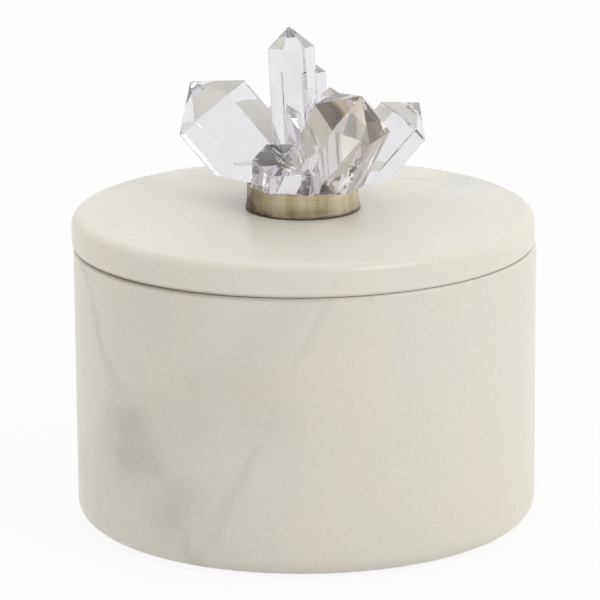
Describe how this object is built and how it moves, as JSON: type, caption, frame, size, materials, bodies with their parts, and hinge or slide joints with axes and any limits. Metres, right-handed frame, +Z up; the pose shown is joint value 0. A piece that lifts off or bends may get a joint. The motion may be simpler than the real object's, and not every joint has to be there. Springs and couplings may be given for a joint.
{
  "type": "vanity trinket box",
  "caption": "Round marble trinket box with a loose marble lid, lifted by a cluster of quartz points set in a metal collar.",
  "frame": {"origin": "middle of the underside, on the surface that the box stands on", "axes": "+Z up along the axis of the box, -Y towards the front, +X to the right seen from the front"},
  "size_m": [0.1274, 0.127, 0.1359],
  "materials": {
    "marble": "honed",
    "marble_lid": "honed",
    "felt": "matt",
    "clear_gasket": "clear, glossy",
    "nickel": "brushed nickel, lacquered",
    "steel": "zinc plated",
    "resin": "clear, glossy",
    "quartz": "polished",
    "quartz_smoky": "polished, smoky towards its point"
  },
  "bodies": {
    "box": {"box_body": "marble", "base_felt": "felt"},
    "lid_carrier": {"lid_washer": "steel"},
    "lid": {"lid": "marble_lid", "lid_nut": "steel", "finial_screw": "steel", "collar_gasket": "clear_gasket", "collar_base": "nickel", "collar_band": "nickel", "setting_resin": "resin", "crystal_small_front": "quartz", "crystal_smoky": "quartz_smoky", "crystal_low": "quartz", "crystal_tall": "quartz", "crystal_right": "quartz", "crystal_left": "quartz", "crystal_back_mid": "quartz", "crystal_back_right": "quartz", "crystal_back_left": "quartz"}
  },
  "joints": [
    {"name": "lid_lift", "type": "slide", "parent": "box", "child": "lid_carrier", "axis": [0, 0, 1], "range_m": [0, 0.09]},
    {"name": "lid_turn", "type": "hinge", "parent": "lid_carrier", "child": "lid", "pos_m": [-0.0004, 0, 0.0771], "axis": [0, 0, 1], "continuous": true}
  ]
}
